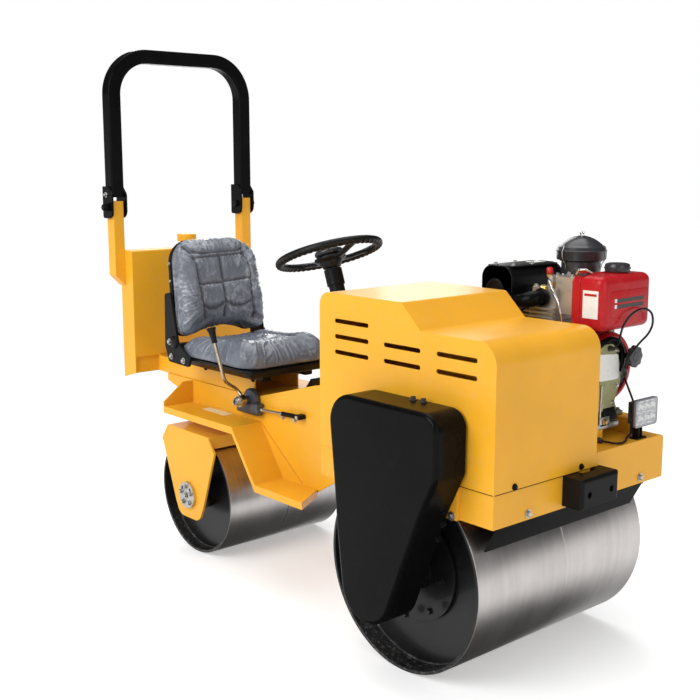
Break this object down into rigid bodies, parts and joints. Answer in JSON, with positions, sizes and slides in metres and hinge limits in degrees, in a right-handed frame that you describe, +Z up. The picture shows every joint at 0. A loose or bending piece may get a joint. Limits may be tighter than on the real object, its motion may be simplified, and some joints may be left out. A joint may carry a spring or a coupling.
{
  "type": "road roller",
  "caption": "Small ride-on tandem road roller: wide front drum under an engine deck, narrow steered rear drum, driver's seat, side steps and a folding roll-over hoop.",
  "frame": {"origin": "middle of the machine's footprint, on the ground under the drums", "axes": "+X the way the roller drives, +Y its left side, +Z up"},
  "size_m": [2.026, 0.842, 1.758],
  "materials": {
    "frame_yellow": "glossy yellow-orange paint, lightly worn",
    "black_paint": "satin black paint",
    "drum_steel": "ground and rolled bare steel",
    "drum_black": "black paint, dusty",
    "zinc_steel": "bright zinc plated",
    "seat_vinyl": "grey vinyl under clear film",
    "seat_shell": "textured black plastic",
    "rubber_black": "soft black grip",
    "chrome_rod": "chromed",
    "engine_grey": "painted casting, dull",
    "cast_alloy": "as-cast alloy",
    "engine_red": "glossy red paint",
    "black_plastic": "black moulded plastic",
    "casting_olive": "olive painted casting",
    "muffler_black": "heat resistant matt black"
  },
  "bodies": {
    "chassis": {"front_frame": "frame_yellow", "rear_frame": "frame_yellow", "right_steps": "frame_yellow", "left_steps": "frame_yellow", "hood": "frame_yellow", "chain_case": "black_paint", "bumper": "black_paint", "front_scraper": "drum_black", "lamp_bracket": "black_paint", "lamp": "black_plastic", "front_axle": "zinc_steel", "left_arm": "black_paint", "right_bearing": "black_paint", "seat_base": "frame_yellow", "seat_rails": "black_paint", "seat_pan": "seat_shell", "seat_cushion": "seat_vinyl", "back_cushion": "seat_vinyl", "back_shell": "seat_shell", "recliners": "black_paint", "water_tank": "frame_yellow", "filler_cap": "frame_yellow", "hoop_posts": "frame_yellow", "fold_pins": "zinc_steel", "steering_column": "black_paint", "pedal": "black_paint", "lever_block": "cast_alloy", "lever_rod": "chrome_rod", "lever_knob": "rubber_black", "lever_link": "zinc_steel", "engine_mount": "black_paint", "engine_block": "engine_grey", "cylinder_head": "cast_alloy", "recoil_starter": "engine_red", "throttle_knob": "black_plastic", "fuel_tank": "engine_red", "fuel_cap": "black_plastic", "air_filter": "black_plastic", "muffler": "muffler_black", "intake_elbow": "cast_alloy", "flywheel_housing": "casting_olive", "throttle_cable": "rubber_black", "cable_ferrules": "zinc_steel"},
    "front_drum": {"front_drum_shell": "drum_steel", "front_drum_bulkheads": "drum_black", "front_drum_hubs": "zinc_steel"},
    "rear_yoke": {"yoke": "frame_yellow", "kingpin": "zinc_steel", "rear_axle": "zinc_steel", "axle_flanges": "zinc_steel", "rear_scraper": "drum_black"},
    "rear_drum": {"rear_drum_shell": "drum_steel", "rear_drum_bulkheads": "drum_black", "rear_drum_hubs": "zinc_steel"},
    "steering": {"steering_wheel": "rubber_black"},
    "hoop": {"rops_hoop": "black_paint"}
  },
  "joints": [
    {"name": "front_drum_spin", "type": "hinge", "parent": "chassis", "child": "front_drum", "pos_m": [0.619, 0.051, 0.28], "axis": [0, 1, 0], "continuous": true},
    {"name": "rear_steer", "type": "hinge", "parent": "chassis", "child": "rear_yoke", "pos_m": [-0.517, 0.051, 0.45], "axis": [0, 0, 1], "range_deg": [-25, 25]},
    {"name": "rear_drum_spin", "type": "hinge", "parent": "rear_yoke", "child": "rear_drum", "pos_m": [-0.517, 0.051, 0.2125], "axis": [0, 1, 0], "continuous": true},
    {"name": "steering_wheel_turn", "type": "hinge", "parent": "chassis", "child": "steering", "pos_m": [0.203, -0.039, 0.58], "axis": [-0.342, 0, 0.9397], "continuous": true},
    {"name": "hoop_fold", "type": "hinge", "parent": "chassis", "child": "hoop", "pos_m": [-0.979, 0.068, 1.193], "axis": [0, 1, 0], "range_deg": [-95, 0]}
  ]
}
